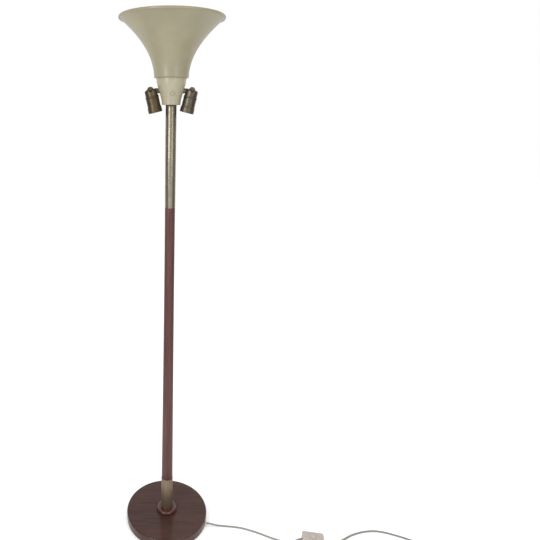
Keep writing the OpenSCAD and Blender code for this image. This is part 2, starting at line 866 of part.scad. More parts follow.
module trumpet_shade() {
    steps = 20;
    low_r = shade_low_d / 2;
    bead = [shade_outer(1)[0], shade_h - rim_bead_r];
    color("#a9a085")
    translate([0, 0, shade_z]) difference() {
        rotate_extrude($fn = 128) {
            polygon(concat(
                [[0, 0]],
                quarter([low_r - shade_corner_r, shade_corner_r], shade_corner_r, -90, 6),
                [for (i = [1 : steps]) shade_outer(i / steps)],
                [for (i = [steps : -1 : 1]) shade_inner(i / steps)],
                [[low_r - shade_wall - 1.5, shade_plate_t + 2],
                 [low_r - shade_wall - 3.5, shade_plate_t], [0, shade_plate_t]]
            ));
            translate(bead) circle(r = rim_bead_r);
        }
        translate([0, 0, -1]) cylinder(r = rod_hole_r, h = shade_plate_t + 2);
    }
}

module shade_nut() {
    color("#a9a49a")
    translate([0, 0, shade_z + shade_plate_t])
        tube(shade_nut_r, rod_r + run_fit, shade_nut_t);
}

// Turns a holder's frame mouth up, on the pipe's upper end
module at_centre() {
    translate([0, 0, centre_z]) rotate([180, 0, 0]) children();
}

module centre_cap() {
    top = cap_low_z + centre_cap_h;
    color("#8c7a58")
    at_centre() difference() {
        rotate_extrude() polygon(cap_outline(top));
        translate([0, 0, cap_low_z - spigot_len - 1])
            cylinder(r = spigot_r - spigot_wall,
                     h = centre_cap_h - centre_floor_t + spigot_len + 1);
        translate([0, 0, top - centre_floor_t - 1]) cylinder(r = rod_hole_r, h = centre_floor_t + 2);
    }
}

module centre_nut() {
    color("#a9a49a")
    translate([0, 0, centre_cap_z + centre_floor_t]) hex_nut(nut_r, rod_r + run_fit, nut_t - 0.5);
}

module centre_shell() {
    color("#8c7a58") at_centre() shell_shape();
}

module centre_insert() {
    color("#efeade") at_centre() insert_shape();
}

module centre_screw_shell() {
    color("#b89a55") at_centre() screw_shell_shape();
}

module centre_contact() {
    color("#b89a55") at_centre() contact_shape();
}

/* ---- Foot switch ---- */

module at_switch() {
    translate([switch_x, switch_y, 0]) rotate([0, 0, switch_angle]) children();
}

// Rounded block on z = 0, from three boxes and four corner posts
module rounded_block(l, w, h, r) {
    translate([-l / 2 + r, -w / 2, 0]) cube([l - 2 * r, w, h]);
    translate([-l / 2, -w / 2 + r, 0]) cube([l, w - 2 * r, h]);
    for (x = [-1, 1], y = [-1, 1])
        translate([x * (l / 2 - r), y * (w / 2 - r), 0]) cylinder(r = r, h = h);
}

// Section of a block whose two upper edges are quarter rounds
function arched(w, h, edge) = concat(
    [[-w / 2 - 1, -1], [w / 2 + 1, -1], [w / 2 + 1, h - edge]],
    quarter([w / 2 - edge, h - edge], edge, 0),
    quarter([edge - w / 2, h - edge], edge, 90),
    [[-w / 2 - 1, h - edge]]
);

// Block with rounded corners whose upper edges are rounded too
module domed_block(l, w, h, r, edge) {
    intersection() {
        rounded_block(l, w, h + 1, r);
        rotate([90, 0, 0]) translate([0, 0, -w / 2 - 1])
            linear_extrude(w + 2) polygon(arched(l, h, edge));
        rotate([90, 0, 90]) translate([0, 0, -l / 2 - 1])
            linear_extrude(l + 2) polygon(arched(w, h, edge));
    }
}

module cord_ports() {
    for (x = [-1, 1]) translate([x * switch_l / 2, 0, switch_cord_z])
        along_x() cylinder(r = flex_w / 2 + 0.2, h = 3 * switch_wall, center = true);
}

module switch_screw_places() {
    for (x = [-1, 1]) translate([x * (switch_l / 2 - 9), 9 * x, 0]) children();
}

module switch_base() {
    color("#cfc9b8")
    at_switch() difference() {
        rounded_block(switch_l, switch_w, switch_split_z, switch_corner);
        translate([0, 0, switch_wall + 1])
            rounded_block(switch_l - 2 * switch_wall, switch_w - 2 * switch_wall, switch_h,
                          switch_corner - switch_wall);
        cord_ports();
        switch_screw_places() {
            translate([0, 0, -1]) cylinder(r = 1.6, h = switch_h);
            translate([0, 0, -1]) cylinder(r = 3, h = 2);
        }
    }
}

module switch_cover() {
    inner_h = switch_h - switch_wall - switch_split_z;
    color("#d6d1c1")
    at_switch() difference() {
        translate([0, 0, switch_split_z]) difference() {
            domed_block(switch_l, switch_w, switch_h - switch_split_z, switch_corner, switch_edge);
            difference() {
                translate([0, 0, -1])
                    rounded_block(switch_l - 2 * switch_wall, switch_w - 2 * switch_wall,
                                  inner_h + 1, switch_corner - switch_wall);
                switch_screw_places() translate([0, 0, -2]) cylinder(r = 3.4, h = switch_h);
            }
        }
        cylinder(r = button_hole_r, h = switch_h + 1);
        cord_ports();
        switch_screw_places() translate([0, 0, switch_split_z - 1]) cylinder(r = 1.25, h = 6.5);
    }
}

module switch_button() {
    top = switch_h + button_proud;
    flange_z = switch_h - switch_wall - button_flange_t - 0.1;
    color("#dbd6c8")
    at_switch() difference() {
        union() {
            translate([0, 0, flange_z]) cylinder(r = button_flange_r, h = button_flange_t);
            intersection() {
                translate([0, 0, flange_z]) cylinder(r = button_d / 2, h = top - flange_z);
                translate([0, 0, top - button_d]) sphere(r = button_d);
            }
        }
        translate([0, 0, flange_z - 1]) cylinder(r = spring_r + 1.2, h = top - flange_z - 2);
    }
}

module switch_spring() {
    per_turn = 12;
    top_z = switch_h + button_proud - 3.6;
    count = spring_turns * per_turn;
    path = [for (i = [0 : count])
        [spring_r * cos(360 * i / per_turn), spring_r * sin(360 * i / per_turn),
         spring_low_z + (top_z - spring_low_z) * i / count]];
    color("#9a9a98")
    at_switch() sweep([for (i = [0 : count])
        let (
            t = along(path, i),
            out = unit([path[i][0], path[i][1], 0]),
            up = cross(t, out)
        )
        [for (k = [0 : 5])
            path[i] + spring_wire_r * (cos(60 * k) * out + sin(60 * k) * up)]]);
}

module switch_contacts() {
    color("#b89a55")
    at_switch() for (x = [-1, 1])
        translate([x * 18 - 4, -4, switch_wall + 1]) {
            cube([8, 8, 1]);
            translate([x > 0 ? 0 : 7.2, 0, 0]) cube([0.8, 8, 5]);
        }
}

module switch_screws() {
    color("#8f8f8a")
    at_switch() switch_screw_places() {
        cylinder(r = 1.2, h = switch_split_z + 4);
        translate([0, 0, 0.2]) cylinder(r = 2.8, h = 0.8);
    }
}

/* ---- Flex and plug ---- */

module cord_to_switch() {
    color("#c9bfae") flex_tube(to_switch_route);
}

module cord_to_coil() {
    color("#c9bfae") flex_tube(to_coil_route);
}

module cord_coil() {
    color("#c9bfae")
    translate([coil_x, coil_y, 0]) tube(coil_d / 2 + coil_half_w, coil_d / 2 - coil_half_w, coil_h);
}

module cord_tail() {
    color("#c9bfae") flex_tube(tail_route);
}

module at_plug() {
    translate([plug_x, plug_y, plug_z]) rotate([0, 0, 180]) children();
}

module plug_body() {
    waist = 12;
    color("#d0c9b6")
    at_plug() intersection() {
        translate([0, 0, -plug_t / 2]) linear_extrude(plug_t)
            polygon([[0, -waist / 2], [6, -waist / 2], [13, -plug_w / 2], [plug_l - 2, -plug_w / 2],
                     [plug_l, -plug_w / 2 + 2], [plug_l, plug_w / 2 - 2], [plug_l - 2, plug_w / 2],
                     [13, plug_w / 2], [6, waist / 2], [0, waist / 2]]);
        rotate([90, 0, 0]) translate([0, 0, -plug_w / 2]) linear_extrude(plug_w)
            polygon([[0, -4], [5, -5], [10, -plug_t / 2], [plug_l - 1, -plug_t / 2],
                     [plug_l, -plug_t / 2 + 1], [plug_l, plug_t / 2 - 1],
                     [plug_l - 1, plug_t / 2], [10, plug_t / 2], [5, 5], [0, 4]]);
    }
}

module plug_pins() {
    pin_l = 17;
    color("#b89a55")
    at_plug() for (y = [-1, 1]) translate([plug_l, y * pin_gap / 2, 0])
        difference() {
            translate([0, -0.75, -3.15]) cube([pin_l, 1.5, 6.3]);
            translate([pin_l - 4, 0, 0]) y_cylinder(1.6, 4);
        }
}

base_disc();
base_ballast();
ballast_screws();
base_felt();
base_rosette();
rod_foot_nut();
cord_grommet();
lower_sleeve();
sleeve_bush();
wood_pole();
upper_tube();
tube_bush();
tie_rod();
neck_cone();
neck_nut();
neck_screw();
junction_block();
neck_leads();
inner_flex();
left_arm();
left_arm_nut();
left_cap();
left_pivot_screw();
left_pivot_nut();
left_shell();
left_insert();
left_screw_shell();
left_contact();
right_arm();
right_arm_nut();
right_cap();
right_pivot_screw();
right_pivot_nut();
right_shell();
right_insert();
right_screw_shell();
right_contact();
trumpet_shade();
shade_nut();
centre_cap();
centre_nut();
centre_shell();
centre_insert();
centre_screw_shell();
centre_contact();
switch_base();
switch_cover();
switch_button();
switch_spring();
switch_contacts();
switch_screws();
cord_to_switch();
cord_to_coil();
cord_coil();
cord_tail();
plug_body();
plug_pins();
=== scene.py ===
import json
import math

import bmesh
import bpy
from mathutils import Matrix, Vector


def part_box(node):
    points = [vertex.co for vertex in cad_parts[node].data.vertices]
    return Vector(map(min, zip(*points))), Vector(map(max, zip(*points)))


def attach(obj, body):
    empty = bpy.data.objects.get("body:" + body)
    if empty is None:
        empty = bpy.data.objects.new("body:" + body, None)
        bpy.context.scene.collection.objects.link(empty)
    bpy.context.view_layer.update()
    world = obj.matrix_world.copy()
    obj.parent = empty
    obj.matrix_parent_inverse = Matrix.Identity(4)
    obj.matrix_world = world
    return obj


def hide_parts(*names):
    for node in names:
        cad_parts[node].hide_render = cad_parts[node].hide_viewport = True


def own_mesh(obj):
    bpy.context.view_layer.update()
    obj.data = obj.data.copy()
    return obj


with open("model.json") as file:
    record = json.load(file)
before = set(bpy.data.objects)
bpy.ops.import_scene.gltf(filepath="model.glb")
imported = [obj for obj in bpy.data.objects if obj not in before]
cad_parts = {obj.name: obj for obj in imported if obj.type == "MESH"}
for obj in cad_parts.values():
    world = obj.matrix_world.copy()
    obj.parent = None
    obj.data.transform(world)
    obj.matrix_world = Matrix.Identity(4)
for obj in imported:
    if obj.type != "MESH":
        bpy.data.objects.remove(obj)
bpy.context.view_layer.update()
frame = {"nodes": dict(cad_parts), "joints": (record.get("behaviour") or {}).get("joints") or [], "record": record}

bl_info = {
    "name": "Torchiere Floor Lamp",
    "version": (1, 0, 0),
    "blender": (4, 5, 0),
    "location": "3D View > Sidebar > Floor Lamp",
    "description": "Builds a torchiere floor lamp's visible pieces and finishes on its CAD frame",
    "category": "Object",
}

NODES = frame["nodes"]
MM = 0.001
STAND = "stand"

# Lowest and highest corners of the pieces' boxes in the frame, in metres
BASE_LOW, BASE_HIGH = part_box("base_disc")
SLEEVE_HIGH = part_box("lower_sleeve")[1]
TUBE_LOW, TUBE_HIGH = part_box("upper_tube")
NECK_LOW, NECK_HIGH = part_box("neck_cone")
SHADE_LOW, SHADE_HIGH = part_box("trumpet_shade")
ROSETTE_LOW, ROSETTE_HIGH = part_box("base_rosette")
SHELL_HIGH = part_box("centre_shell")[1]

# Route of the flex from the base to the foot switch, in metres
TO_SWITCH = [
    (0.1286, -0.0369, 0.008), (0.141, -0.0395, 0.0079), (0.153, -0.041, 0.0062),
    (0.165, -0.0415, 0.004), (0.181, -0.0415, 0.0022), (0.199, -0.0425, 0.0017),
    (0.221, -0.045, 0.0017), (0.243, -0.049, 0.0017), (0.263, -0.0555, 0.0017),
    (0.283, -0.063, 0.0017), (0.302, -0.0715, 0.0017), (0.321, -0.0805, 0.0017),
    (0.336, -0.0875, 0.0017), (0.35, -0.093, 0.0017), (0.363, -0.0975, 0.0017),
    (0.377, -0.0985, 0.002), (0.391, -0.099, 0.0028), (0.404, -0.097, 0.0042),
    (0.415, -0.0925, 0.0054), (0.428, -0.09, 0.0055),
]
# Route of the flex from the foot switch to the coil
TO_COIL = [
    (0.488, -0.0988, 0.0055), (0.502, -0.101, 0.0054), (0.516, -0.1015, 0.0038),
    (0.529, -0.099, 0.0022), (0.542, -0.0945, 0.0017), (0.554, -0.0885, 0.0017),
    (0.567, -0.0815, 0.0017), (0.578, -0.075, 0.0017), (0.594, -0.0675, 0.0017),
    (0.611, -0.0615, 0.0017), (0.627, -0.057, 0.0017), (0.643, -0.054, 0.0017),
    (0.656, -0.0527, 0.0017), (0.669, -0.0524, 0.0017), (0.683, -0.054, 0.0017),
    (0.697, -0.057, 0.0017), (0.71, -0.061, 0.0017), (0.722, -0.0655, 0.0017),
    (0.735, -0.0705, 0.0017), (0.747, -0.0755, 0.0017), (0.766, -0.0845, 0.0017),
    (0.784, -0.0945, 0.0017), (0.801, -0.107, 0.0017), (0.815, -0.121, 0.0017),
    (0.826, -0.137, 0.0017), (0.832, -0.155, 0.0017),
]
# Route of the flex from the coil to the plug
TAIL = [
    (0.783, -0.2036, 0.008), (0.775, -0.2042, 0.0077), (0.767, -0.2047, 0.0074),
    (0.759, -0.205, 0.0071), (0.7475, -0.205, 0.007),
]
# Where the coil's last turn ends and the tail starts, seen from above
COIL_EXIT = (0.791, -0.203)

# Camera: its place in metres, its angles in degrees, its lens
CAMERA_PLACE = (0.0, -1.297, 1.271)
CAMERA_DOWN = 17.11
CAMERA_TURN = -0.58
CAMERA_ROLL = 0.45
CAMERA_SENSOR = 36
CAMERA_LENS = 32.33
CAMERA_SHIFT = (0.195, -0.0093)
# Soft lights: name, place, width and height, power; all aim at one point on the lamp
LIGHTS = (
    ("key", (-1.55, -2.05, 1.6), (0.32, 2.3), 34),
    ("strip", (1.25, -2.1, 1.5), (0.22, 2.2), 9),
    ("fill", (2.6, -1.5, 1.6), (1.6, 1.6), 8),
    ("top", (0.4, 1.1, 3.3), (1.4, 1.4), 14),
)
LIGHTS_AIM = (0, 0, 0.9)
# Dark panels beside the lamp: name, place, width
FLAGS = (
    ("flag_left", (-0.8, -0.35, 0.95), 1.1),
    ("flag_right", (0.95, -0.25, 0.95), 1.3),
)
FLAG_HEIGHT = 1.9
FLOOR_HALF_SIDE = 9
FLOOR_DROP = 0.3 * MM


class LampSizes(bpy.types.PropertyGroup):
    """Sizes of the lamp's visible pieces"""

    base_radius: bpy.props.FloatProperty(
        name="Base radius", description="Radius of the wooden base",
        default=BASE_HIGH.x, unit="LENGTH")
    base_edge: bpy.props.FloatProperty(
        name="Base edge", description="Rounding of the base's upper edge",
        default=4 * MM, unit="LENGTH")
    wood_low_radius: bpy.props.FloatProperty(
        name="Pole radius, low", description="Radius of the wooden pole at its lower end",
        default=17.7 * MM, unit="LENGTH")
    wood_top_radius: bpy.props.FloatProperty(
        name="Pole radius, top", description="Radius of the wooden pole at its upper end",
        default=13.7 * MM, unit="LENGTH")
    tube_wall: bpy.props.FloatProperty(
        name="Tube wall", description="Wall of the metal tubes",
        default=1.2 * MM, unit="LENGTH")
    neck_low_radius: bpy.props.FloatProperty(
        name="Neck radius, low", description="Radius of the neck at its lower edge",
        default=23.6 * MM, unit="LENGTH")
    shade_low_radius: bpy.props.FloatProperty(
        name="Shade radius, low", description="Radius of the shade's flat bottom",
        default=43.5 * MM, unit="LENGTH")
    shade_wall: bpy.props.FloatProperty(
        name="Shade wall", description="Wall of the shade",
        default=1.3 * MM, unit="LENGTH")
    rim_bead: bpy.props.FloatProperty(
        name="Rim bead", description="Radius of the bead rolled round the shade's rim",
        default=3.4 * MM, unit="LENGTH")
    thread_radius: bpy.props.FloatProperty(
        name="Thread radius", description="Inner radius of the screw shells",
        default=13.35 * MM, unit="LENGTH")
    rest_tilt: bpy.props.FloatProperty(
        name="Rest tilt", description="Inward tilt of the side holders",
        default=math.radians(13.5), unit="ROTATION")
    flex_width: bpy.props.FloatProperty(
        name="Flex width", description="Width of the flat twin flex",
        default=6.4 * MM, unit="LENGTH")
    coil_radius: bpy.props.FloatProperty(
        name="Coil radius", description="Radius of the coil at the middle of its turns",
        default=34.5 * MM, unit="LENGTH")


def colour_property(name, description, default):
    return bpy.props.FloatVectorProperty(
        name=name, description=description, default=default, size=3,
        subtype="COLOR", min=0, max=1)


class LampColours(bpy.types.PropertyGroup):
    """Main colours of the lamp's finishes"""

    shade: colour_property("Shade enamel", "Khaki enamel of the shade", (0.238, 0.215, 0.135))
    neck: colour_property("Neck enamel", "Cream enamel of the neck", (0.3, 0.272, 0.187))
    base_wood: colour_property(
        "Base wood", "Dark varnished wood of the base", (0.041, 0.0178, 0.0138))
    pole_wood: colour_property("Pole wood", "Reddish wood of the pole", (0.083, 0.032, 0.026))
    nickel: colour_property("Nickel", "Worn nickel of the upper tube", (0.27, 0.245, 0.195))
    brass: colour_property("Aged brass", "Darkened brass of the lower sleeve", (0.21, 0.16, 0.11))
    switch: colour_property(
        "Switch plastic", "Cream plastic of the foot switch", (0.39, 0.35, 0.315))


# ---- Finishes ----


def shaded(colour, factor):
    """A colour made lighter or darker, with its alpha."""
    return tuple(min(1, c * factor) for c in colour[:3]) + (1,)


class Finish:
    """Builds one procedural material on Object coordinates."""

    def __init__(self, name, metallic=0.0, coat=0.0, coat_roughness=0.1, sheen=0.0, specular=0.5):
        self.material = bpy.data.materials.new(name)
        self.material.use_nodes = True
        self.tree = self.material.node_tree
        self.shader = self.tree.nodes["Principled BSDF"]
        self.shader.inputs["Metallic"].default_value = metallic
        self.shader.inputs["Coat Weight"].default_value = coat
        self.shader.inputs["Coat Roughness"].default_value = coat_roughness
        self.shader.inputs["Sheen Weight"].default_value = sheen
        self.shader.inputs["Specular IOR Level"].default_value = specular
        self.place = self.tree.nodes.new("ShaderNodeTexCoord").outputs["Object"]

    def link(self, source, target):
        self.tree.links.new(source, target)

    def stretched(self, stretch):
        mapping = self.tree.nodes.new("ShaderNodeMapping")
        mapping.inputs["Scale"].default_value = stretch
        self.link(self.place, mapping.inputs["Vector"])
        return mapping.outputs["Vector"]

    def noise(self, scale, stretch=(1, 1, 1), detail=5.0, roughness=0.55, distortion=0.0):
        node = self.tree.nodes.new("ShaderNodeTexNoise")
        node.inputs["Scale"].default_value = scale
        node.inputs["Detail"].default_value = detail
        node.inputs["Roughness"].default_value = roughness
        node.inputs["Distortion"].default_value = distortion
        self.link(self.stretched(stretch), node.inputs["Vector"])
        return node.outputs["Fac"]

    def ramp(self, source, stops):
        node = self.tree.nodes.new("ShaderNodeValToRGB")
        while len(node.color_ramp.elements) < len(stops):
            node.color_ramp.elements.new(0.5)
        for element, (position, colour) in zip(node.color_ramp.elements, stops):
            element.position = position
            element.color = colour
        self.link(source, node.inputs["Fac"])
        return node.outputs["Color"]

    def mixed(self, factor, first, second, blend="MIX"):
        node = self.tree.nodes.new("ShaderNodeMix")
        node.data_type = "RGBA"
        node.blend_type = blend
        if isinstance(factor, float):
            node.inputs["Factor"].default_value = factor
        else:
            self.link(factor, node.inputs["Factor"])
        for value, socket in ((first, node.inputs[6]), (second, node.inputs[7])):
            if isinstance(value, tuple):
                socket.default_value = value
            else:
                self.link(value, socket)
        return node.outputs[2]

    def colour(self, output):
        self.link(output, self.shader.inputs["Base Color"])

    def roughness(self, source, low, high):
        node = self.tree.nodes.new("ShaderNodeMapRange")
        node.inputs["From Min"].default_value = 0.3
        node.inputs["From Max"].default_value = 0.7
        node.inputs["To Min"].default_value = low
        node.inputs["To Max"].default_value = high
        self.link(source, node.inputs["Value"])
        self.link(node.outputs["Result"], self.shader.inputs["Roughness"])

    def bump(self, source, strength, distance):
        node = self.tree.nodes.new("ShaderNodeBump")
        node.inputs["Strength"].default_value = strength
        node.inputs["Distance"].default_value = distance
        self.link(source, node.inputs["Height"])
        self.link(node.outputs["Normal"], self.shader.inputs["Normal"])


def spots(low, high, colour_low=(0, 0, 0, 1), colour_high=(1, 1, 1, 1)):
    """Two stops of a ramp that turns a noise into spots."""
    return [(low, colour_low), (high, colour_high)]


def base_wood_finish(colour):
    f = Finish("base_wood", coat=0.33, coat_roughness=0.16, specular=0.1)
    grain = f.noise(240, (0.045, 1, 1), detail=9, roughness=0.66, distortion=0.4)
    broad = f.noise(34, (0.12, 1, 1), detail=5, roughness=0.55, distortion=0.8)
    pores = f.noise(1000, (0.03, 1, 1), detail=3)
    body = f.ramp(grain, [(0.3, shaded(colour, 0.55)), (0.5, shaded(colour, 1.0)),
                          (0.72, shaded(colour, 1.6))])
    body = f.mixed(f.ramp(broad, spots(0.38, 0.68)), body, f.mixed(0.45, body, shaded(colour, 1.9)))
    body = f.mixed(f.ramp(pores, spots(0.6, 0.7)), body, shaded(colour, 0.3))
    f.colour(body)
    f.roughness(grain, 0.3, 0.45)
    f.bump(pores, 0.08, 0.0003)
    return f.material


def pole_wood_finish(colour):
    f = Finish("pole_wood", coat=0.1, coat_roughness=0.3, specular=0.25)
    grain = f.noise(300, (1, 1, 0.025), detail=8, roughness=0.65)
    broad = f.noise(60, (1, 1, 0.05), detail=4)
    pores = f.noise(1100, (1, 1, 0.03), detail=3)
    body = f.ramp(grain, [(0.3, shaded(colour, 0.58)), (0.5, shaded(colour, 1.0)),
                          (0.7, shaded(colour, 1.45))])
    body = f.mixed(f.ramp(broad, spots(0.35, 0.65)), body, f.mixed(0.4, body, shaded(colour, 0.6)))
    body = f.mixed(f.ramp(pores, spots(0.6, 0.7)), body, shaded(colour, 0.35))
    f.colour(body)
    f.roughness(grain, 0.36, 0.55)
    f.bump(pores, 0.2, 0.0003)
    return f.material


def rosette_finish(colour):
    f = Finish("rosette_wood", coat=0.8, coat_roughness=0.06, specular=0.15)
    grain = f.noise(260, (0.12, 1, 1), detail=7)
    f.colour(f.ramp(grain, [(0.3, shaded(colour, 0.6)), (0.55, shaded(colour, 1.2)),
                            (0.75, shaded(colour, 1.9))]))
    f.roughness(grain, 0.22, 0.36)
    f.bump(grain, 0.08, 0.0003)
    return f.material


def drawn_metal_finish(name, colour, rough, patina=0.5, along_z=0.012, metallic=1.0):
    f = Finish(name, metallic=metallic)
    streaks = f.noise(700, (1, 1, along_z), detail=4)
    blotch = f.noise(38, (1, 1, 0.5), detail=6, roughness=0.65)
    specks = f.noise(420, detail=3)
    body = f.ramp(streaks, [(0.3, shaded(colour, 0.82)), (0.7, shaded(colour, 1.15))])
    body = f.mixed(f.ramp(blotch, spots(0.42, 0.72)), body,
                   (colour[0] * patina, colour[1] * patina * 0.92, colour[2] * patina * 0.8, 1))
    body = f.mixed(f.ramp(specks, spots(0.66, 0.74)), body, shaded(colour, 0.4))
    f.colour(body)
    f.roughness(blotch, rough[0], rough[1])
    f.bump(streaks, 0.06, 0.0002)
    return f.material


def enamel_finish(name, colour, coat):
    f = Finish(name, coat=coat, coat_roughness=0.25)
    soil = f.noise(14, detail=6, roughness=0.6)
    peel = f.noise(520, detail=2)
    chips = f.noise(240, detail=5, roughness=0.7)
    body = f.ramp(soil, [(0.3, shaded(colour, 0.9)), (0.7, shaded(colour, 1.06))])
    body = f.mixed(f.ramp(chips, spots(0.7, 0.73)), body, shaded(colour, 0.62))
    f.colour(body)
    f.roughness(soil, 0.36, 0.5)
    f.bump(peel, 0.08, 0.0003)
    return f.material


def moulded_finish(name, colour, rough=(0.35, 0.5)):
    f = Finish(name)
    soil = f.noise(45, detail=5)
    skin = f.noise(1500, detail=2)
    f.colour(f.ramp(soil, [(0.3, shaded(colour, 0.9)), (0.7, shaded(colour, 1.05))]))
    f.roughness(soil, rough[0], rough[1])
    f.bump(skin, 0.1, 0.0001)
    return f.material


def porcelain_finish():
    f = Finish("porcelain", coat=0.7, coat_roughness=0.08)
    glaze = f.noise(60, detail=4)
    f.colour(f.ramp(glaze, [(0.3, (0.72, 0.69, 0.61, 1)), (0.7, (0.82, 0.8, 0.74, 1))]))
    f.roughness(glaze, 0.25, 0.4)
    f.bump(glaze, 0.05, 0.0003)
    return f.material


def iron_finish():
    f = Finish("cast_iron", metallic=0.6)
    skin = f.noise(320, detail=6, roughness=0.7)
    f.colour(f.ramp(skin, [(0.3, (0.03, 0.03, 0.031, 1)), (0.7, (0.085, 0.08, 0.075, 1))]))
    f.roughness(skin, 0.6, 0.85)
    f.bump(skin, 0.5, 0.0005)
    return f.material


def felt_finish():
    f = Finish("felt", sheen=0.4)
    fibres = f.noise(1300, (1, 0.4, 1), detail=6, roughness=0.7, distortion=1.5)
    f.colour(f.ramp(fibres, [(0.3, (0.012, 0.022, 0.016, 1)), (0.7, (0.05, 0.075, 0.058, 1))]))
    f.roughness(fibres, 0.85, 0.98)
    f.bump(fibres, 0.7, 0.0006)
    return f.material


def flex_finish():
    """Clear sheath over one copper and one tinned conductor, read from the tube's own UV map."""
    f = Finish("twin_flex", coat=0.6, coat_roughness=0.12)
    uv = f.tree.nodes.new("ShaderNodeUVMap")
    uv.uv_map = "along"
    split = f.tree.nodes.new("ShaderNodeSeparateXYZ")
    f.link(uv.outputs["UV"], split.inputs["Vector"])
    sheath = (0.215, 0.2, 0.185, 1)
    copper = (0.16, 0.105, 0.075, 1)
    tinned = (0.19, 0.18, 0.17, 1)
    across = f.ramp(split.outputs["X"], [
        (0.0, sheath), (0.12, sheath), (0.19, copper), (0.31, copper), (0.4, sheath),
        (0.6, sheath), (0.69, tinned), (0.81, tinned), (0.88, sheath), (1.0, sheath)])
    strands = f.tree.nodes.new("ShaderNodeTexWave")
    strands.bands_direction = "DIAGONAL"
    strands.inputs["Scale"].default_value = 9.0
    f.link(uv.outputs["UV"], strands.inputs["Vector"])
    faint = (0.35, 0.35, 0.35, 1)
    twist = f.ramp(strands.outputs["Fac"], spots(0.2, 0.8, colour_high=faint))
    f.colour(f.mixed(twist, across, sheath))
    haze = f.noise(200, detail=4)
    f.roughness(haze, 0.2, 0.34)
    f.bump(haze, 0.05, 0.0003)
    return f.material


FINISHES = {}


def finish(name):
    """The named finish, made once from the scene's colours."""
    colours = bpy.context.scene.lamp_colours
    makers = {
        "dark_wood": lambda: base_wood_finish(colours.base_wood),
        "pole_wood": lambda: pole_wood_finish(colours.pole_wood),
        "rosette_wood": lambda: rosette_finish((0.065, 0.019, 0.012)),
        "iron": iron_finish,
        "felt": felt_finish,
        "aged_brass": lambda: drawn_metal_finish(
            "aged_brass", (0.125, 0.1, 0.064), (0.36, 0.54), patina=0.45, along_z=0.6),
        "old_brass": lambda: drawn_metal_finish(
            "sleeve_brass", colours.brass, (0.38, 0.55), patina=0.7, metallic=0.75),
        "nickel": lambda: drawn_metal_finish("nickel", colours.nickel, (0.24, 0.4), patina=0.68),
        "silver_nickel": lambda: drawn_metal_finish(
            "silver_nickel", (0.16, 0.138, 0.11), (0.3, 0.48), patina=0.45, along_z=0.6),
        "steel": lambda: drawn_metal_finish(
            "steel", (0.42, 0.41, 0.39), (0.3, 0.45), patina=0.7, along_z=1.0),
        "spring_steel": lambda: drawn_metal_finish(
            "spring_steel", (0.4, 0.4, 0.4), (0.25, 0.4), patina=0.8, along_z=1.0),
        "bright_brass": lambda: drawn_metal_finish(
            "bright_brass", (0.6, 0.43, 0.19), (0.22, 0.4), patina=0.7, along_z=1.0),
        "shade_paint": lambda: enamel_finish("shade_enamel", colours.shade, 0.25),
        "neck_paint": lambda: enamel_finish("neck_enamel", colours.neck, 0.35),
        "porcelain": porcelain_finish,
        "flex_sheath": flex_finish,
        "inner_sheath": lambda: moulded_finish("inner_sheath", (0.5, 0.44, 0.32)),
        "lead_sheath": lambda: moulded_finish("lead_sheath", (0.3, 0.2, 0.05)),
        "switch_plastic": lambda: moulded_finish("switch_plastic", colours.switch),
        "plug_plastic": lambda: moulded_finish("plug_plastic", (0.58, 0.54, 0.44)),
        "gland_plastic": lambda: moulded_finish("gland_plastic", (0.5, 0.47, 0.38)),
        "tie": lambda: moulded_finish("tie_plastic", (0.7, 0.68, 0.62)),
    }
    if name not in FINISHES:
        FINISHES[name] = makers[name]()
    return FINISHES[name]


# ---- Shapes ----


def piece(name, bm, slot_name, body, replaced=()):
    """A finished object from a bmesh, with its finish, on its body."""
    bmesh.ops.recalc_face_normals(bm, faces=bm.faces)
    mesh = bpy.data.meshes.new(name)
    bm.to_mesh(mesh)
    bm.free()
    for polygon in mesh.polygons:
        polygon.use_smooth = True
    obj = bpy.data.objects.new(name, mesh)
    bpy.context.scene.collection.objects.link(obj)
    obj.data.materials.append(finish(slot_name))
    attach(obj, body)
    if replaced:
        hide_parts(*replaced)
    return obj


def soft_edges(obj, width=0.4 * MM, segments=2, angle=32):
    """Small rounded edges, then shading that stays crisp at the others."""
    bevel = obj.modifiers.new("edges", "BEVEL")
    bevel.width = width
    bevel.segments = segments
    bevel.limit_method = "ANGLE"
    bevel.angle_limit = math.radians(angle)
    split = obj.modifiers.new("crisp", "EDGE_SPLIT")
    split.split_angle = math.radians(40)
    return obj


def turned(outline, segments=128, closed=True):
    """A turned bmesh: the outline of (radius, height) points spun once about Z."""
    bm = bmesh.new()
    verts = [bm.verts.new((r, 0, z)) for r, z in outline]
    pairs = list(zip(verts, verts[1:]))
    if closed:
        pairs.append((verts[-1], verts[0]))
    edges = [bm.edges.new(pair) for pair in pairs]
    bmesh.ops.spin(bm, geom=verts + edges, cent=(0, 0, 0), axis=(0, 0, 1),
                   angle=2 * math.pi, steps=segments, use_merge=True)
    bmesh.ops.remove_doubles(bm, verts=bm.verts, dist=0.00001)
    return bm


def ring_edges(bm, radius, height):
    """The edges of a turned piece that run round it at one radius and height."""
    def on_ring(v):
        return abs(math.hypot(v.co.x, v.co.y) - radius) < 1e-5 and abs(v.co.z - height) < 1e-5
    return [e for e in bm.edges if on_ring(e.verts[0]) and on_ring(e.verts[1])]


def round_ring(bm, radius, height, offset, segments):
    """Rounds one of a turned piece's edges that run round it."""
    bmesh.ops.bevel(bm, geom=ring_edges(bm, radius, height), offset=offset,
                    offset_type="OFFSET", segments=segments, profile=0.5,
                    affect="EDGES", material=-1)


def quarter(centre, r, start, steps=6):
    """A quarter of a circle as points, anticlockwise from an angle in degrees."""
    return [(centre[0] + r * math.cos(math.radians(start + 90 * i / steps)),
             centre[1] + r * math.sin(math.radians(start + 90 * i / steps)))
            for i in range(steps + 1)]


